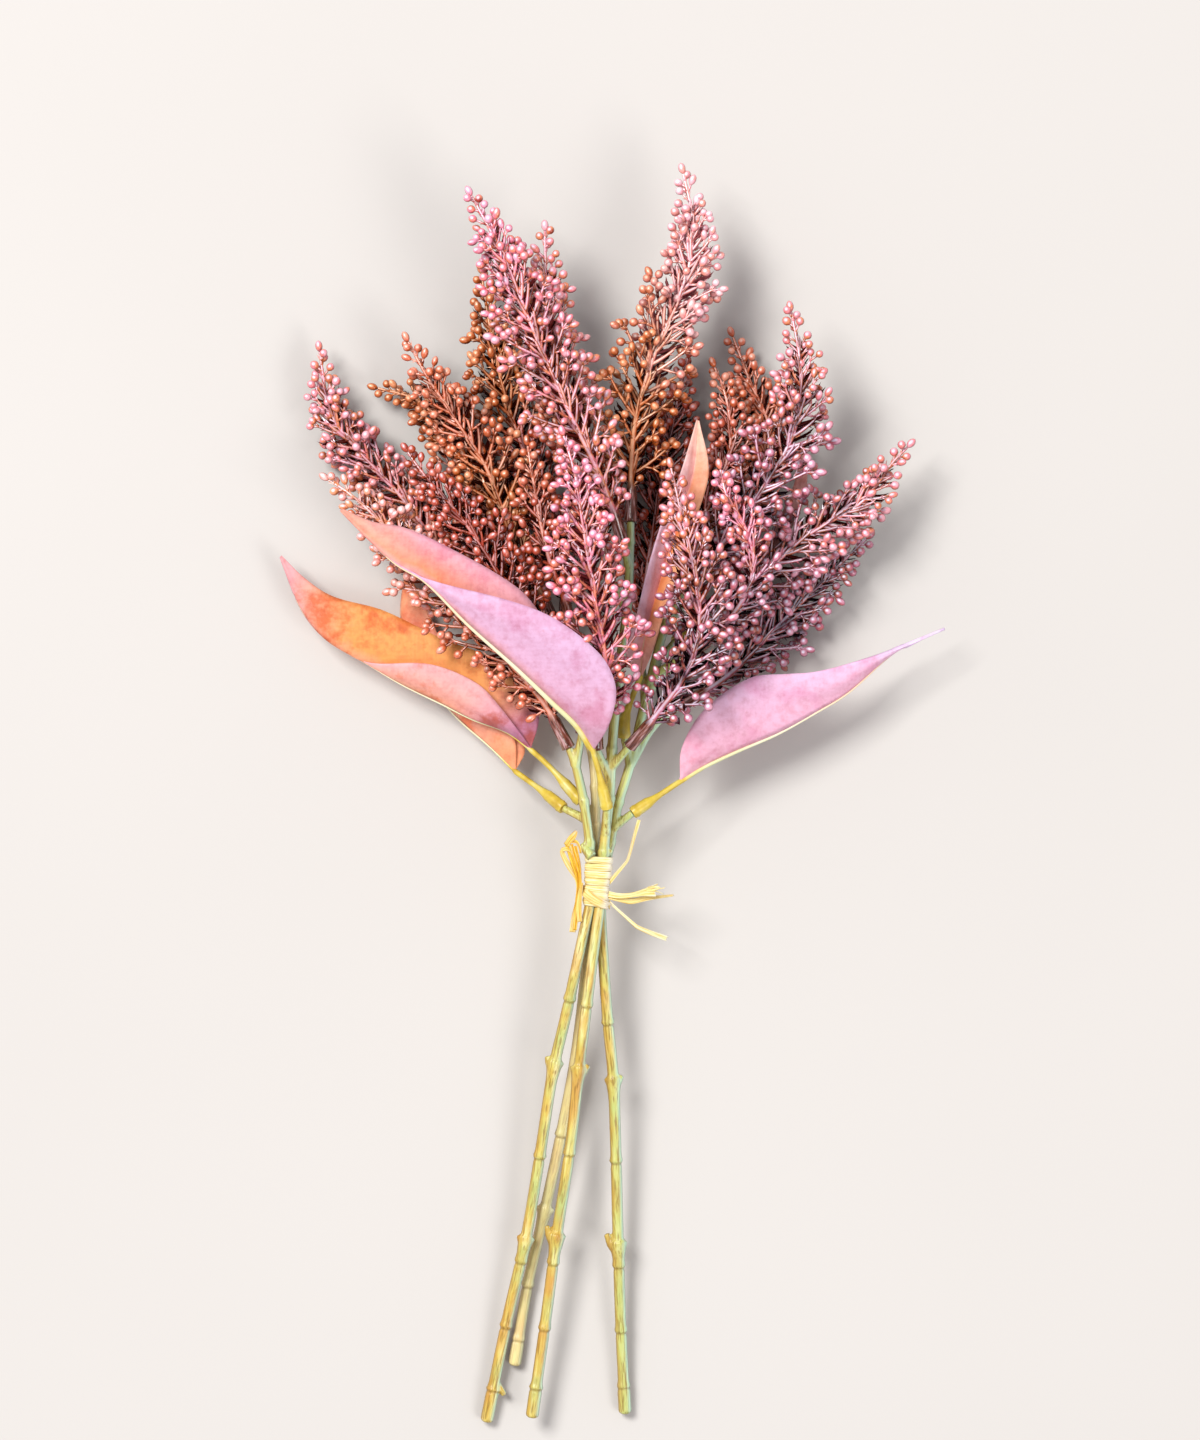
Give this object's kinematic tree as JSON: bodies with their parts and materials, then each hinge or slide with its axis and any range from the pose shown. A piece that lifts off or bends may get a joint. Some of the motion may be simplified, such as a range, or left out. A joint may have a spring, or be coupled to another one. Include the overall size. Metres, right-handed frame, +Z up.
{
  "type": "tied bunch of imitation dried astilbe sprays",
  "caption": "Bunch of beaded flower sprays and folded leaves on jointed stems, tied with raffia and lying flat.",
  "frame": {"origin": "centre of the bunch's box, on the surface that it lies on", "axes": "+Y from the cut stem ends to the flower heads, +Z up from the surface"},
  "size_m": [0.2568, 0.4832, 0.0698],
  "materials": {
    "stem_green": "olive and yellow-green moulded plastic with ring joints, slightly glossy",
    "spray_mauve": "maroon-brown twigs with matt peach and pink buds",
    "leaf_pink": "pink cloth leaf that turns orange in patches, matt",
    "stalk_gold": "yellow-gold moulded leaf stalk with a pale rib, slightly glossy",
    "raffia_cream": "dry cream to golden raffia strip with fine lengthwise fibres"
  },
  "bodies": {
    "root": {"stem_left": "stem_green", "stem_left_short": "stem_green", "stem_middle": "stem_green", "stem_right": "stem_green", "spray_01_tall_left": "spray_mauve", "spray_02_tall_right": "spray_mauve", "spray_03_tall_centre": "spray_mauve", "spray_04_front_centre": "spray_mauve", "spray_05_front_right": "spray_mauve", "spray_06_front_left": "spray_mauve", "spray_07_low_left": "spray_mauve", "spray_08_far_left": "spray_mauve", "spray_09_upper_left": "spray_mauve", "spray_10_back_left": "spray_mauve", "spray_11_back_tall": "spray_mauve", "spray_12_upper_right": "spray_mauve", "spray_13_back_right": "spray_mauve", "spray_14_inner_right": "spray_mauve", "spray_15_top_right": "spray_mauve", "spray_16_far_right": "spray_mauve", "spray_17_low_right": "spray_mauve", "spray_18_back_centre": "spray_mauve", "spray_19_inner_left": "spray_mauve", "leaf_01_front_blade": "leaf_pink", "leaf_02_left_blade": "leaf_pink", "leaf_03_left_low_blade": "leaf_pink", "leaf_04_right_blade": "leaf_pink", "leaf_05_middle_blade": "leaf_pink", "leaf_06_back_right_blade": "leaf_pink", "leaf_01_front_stalk": "stalk_gold", "leaf_02_left_stalk": "stalk_gold", "leaf_03_left_low_stalk": "stalk_gold", "leaf_04_right_stalk": "stalk_gold", "leaf_05_middle_stalk": "stalk_gold", "leaf_06_back_right_stalk": "stalk_gold", "raffia_wrap": "raffia_cream", "raffia_left_bunch": "raffia_cream", "raffia_left_tail": "raffia_cream", "raffia_left_end": "raffia_cream", "raffia_right_long": "raffia_cream", "raffia_right_flat": "raffia_cream", "raffia_right_frayed": "raffia_cream", "raffia_right_low": "raffia_cream"}
  },
  "joints": []
}
